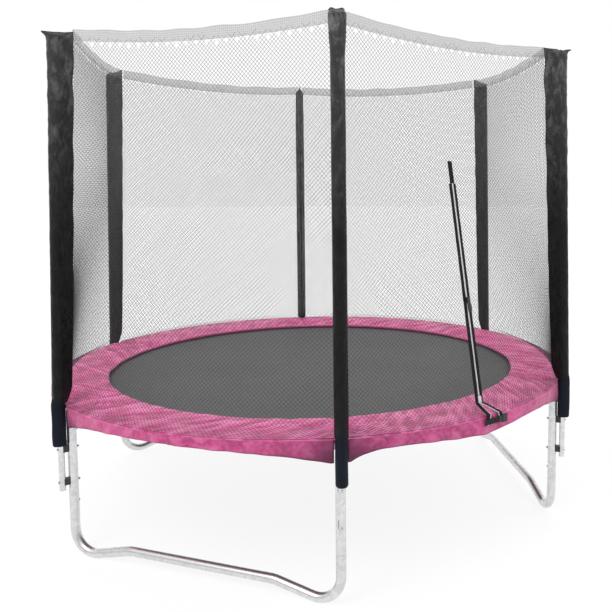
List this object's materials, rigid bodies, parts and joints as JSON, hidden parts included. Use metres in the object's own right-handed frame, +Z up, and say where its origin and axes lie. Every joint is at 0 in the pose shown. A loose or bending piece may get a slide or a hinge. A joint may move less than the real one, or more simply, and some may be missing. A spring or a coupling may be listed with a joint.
{
  "type": "trampoline",
  "caption": "Round garden trampoline: tube ring on U-shaped legs, sprung mat, pink spring pad, and a net on sleeved poles with a zip door.",
  "frame": {"origin": "centre of the base, on the ground under the middle of the mat", "axes": "+Z up; -Y through the front post; the door faces between the -Y post and the next one towards +X"},
  "size_m": [2.452, 2.5398, 2.13],
  "materials": {
    "galvanised_tube": "bright galvanised, lightly spangled",
    "zinc_fastener": "zinc plated",
    "spring_steel": "zinc-plated wire",
    "black_pvc": "glossy wrinkled PVC cloth",
    "navy_foam": "matt closed-cell foam",
    "grey_net": "knotless netting",
    "grey_binding": "woven binding",
    "pink_pvc": "satin PVC cloth over foam",
    "mat_weave": "woven polypropylene",
    "black_webbing": "ribbed webbing",
    "zip_tape": "woven tape",
    "white_chain": "moulded coil",
    "black_plastic": "moulded",
    "black_metal": "painted die casting",
    "pale_metal": "tumbled die casting"
  },
  "bodies": {
    "frame": {"top_rail_1": "galvanised_tube", "top_rail_2": "galvanised_tube", "top_rail_3": "galvanised_tube", "top_rail_4": "galvanised_tube", "top_rail_5": "galvanised_tube", "top_rail_6": "galvanised_tube", "upper_leg_1": "galvanised_tube", "upper_leg_2": "galvanised_tube", "upper_leg_3": "galvanised_tube", "upper_leg_4": "galvanised_tube", "upper_leg_5": "galvanised_tube", "upper_leg_6": "galvanised_tube", "base_leg_1": "galvanised_tube", "base_leg_2": "galvanised_tube", "base_leg_3": "galvanised_tube", "frame_screws": "zinc_fastener", "lower_pole_1": "galvanised_tube", "lower_pole_2": "galvanised_tube", "lower_pole_3": "galvanised_tube", "lower_pole_4": "galvanised_tube", "lower_pole_5": "galvanised_tube", "lower_pole_6": "galvanised_tube", "upper_poles": "galvanised_tube", "pole_spacers": "black_plastic", "pole_bolts": "zinc_fastener", "pole_nuts": "zinc_fastener", "pole_caps": "black_plastic", "foam_sleeves": "navy_foam", "pole_cover_1": "black_pvc", "pole_cover_2": "black_pvc", "pole_cover_3": "black_pvc", "pole_cover_4": "black_pvc", "pole_cover_5": "black_pvc", "pole_cover_6": "black_pvc", "net_panel_1": "grey_net", "net_panel_2": "grey_net", "net_panel_3": "grey_net", "net_panel_4": "grey_net", "net_panel_5": "grey_net", "net_panel_6": "grey_net", "net_top_band": "grey_binding", "spring_pad_1": "pink_pvc", "spring_pad_2": "pink_pvc", "spring_pad_3": "pink_pvc", "spring_pad_4": "pink_pvc", "spring_pad_5": "pink_pvc", "spring_pad_6": "pink_pvc", "pad_ties": "black_webbing", "springs": "spring_steel", "zip_tapes": "zip_tape", "zip_chain": "white_chain", "door_socket": "black_plastic"},
    "mat": {"jump_mat": "mat_weave", "mat_hem": "black_webbing", "mat_rings": "spring_steel"},
    "slider": {"zip_slider": "black_metal"},
    "pull": {"zip_pull": "black_plastic"},
    "lower_slider": {"lower_zip_slider": "pale_metal"},
    "clip": {"door_clip": "black_plastic", "door_strap": "black_webbing"}
  },
  "joints": [
    {"name": "mat_bounce", "type": "slide", "parent": "frame", "child": "mat", "axis": [0, 0, 1], "range_m": [-0.25, 0], "stiffness_N_per_m": 6000, "springref_m": 0.01, "deforming": ["springs"]},
    {"name": "zip_travel", "type": "slide", "parent": "frame", "child": "slider", "axis": [-0.0929, 0.161, 0.9826], "range_m": [-0.3, 0.44]},
    {"name": "pull_swing", "type": "hinge", "parent": "slider", "child": "pull", "pos_m": [0.54006, -0.93542, 1.08407], "axis": [-0.866, -0.5, 0], "range_deg": [0, 150]},
    {"name": "lower_zip_travel", "type": "slide", "parent": "frame", "child": "lower_slider", "axis": [-0.0929, 0.161, 0.9826], "range_m": [0, 0.3]},
    {"name": "clip_release", "type": "slide", "parent": "frame", "child": "clip", "axis": [-0.866, -0.5, 0], "range_m": [0, 0.022]}
  ]
}
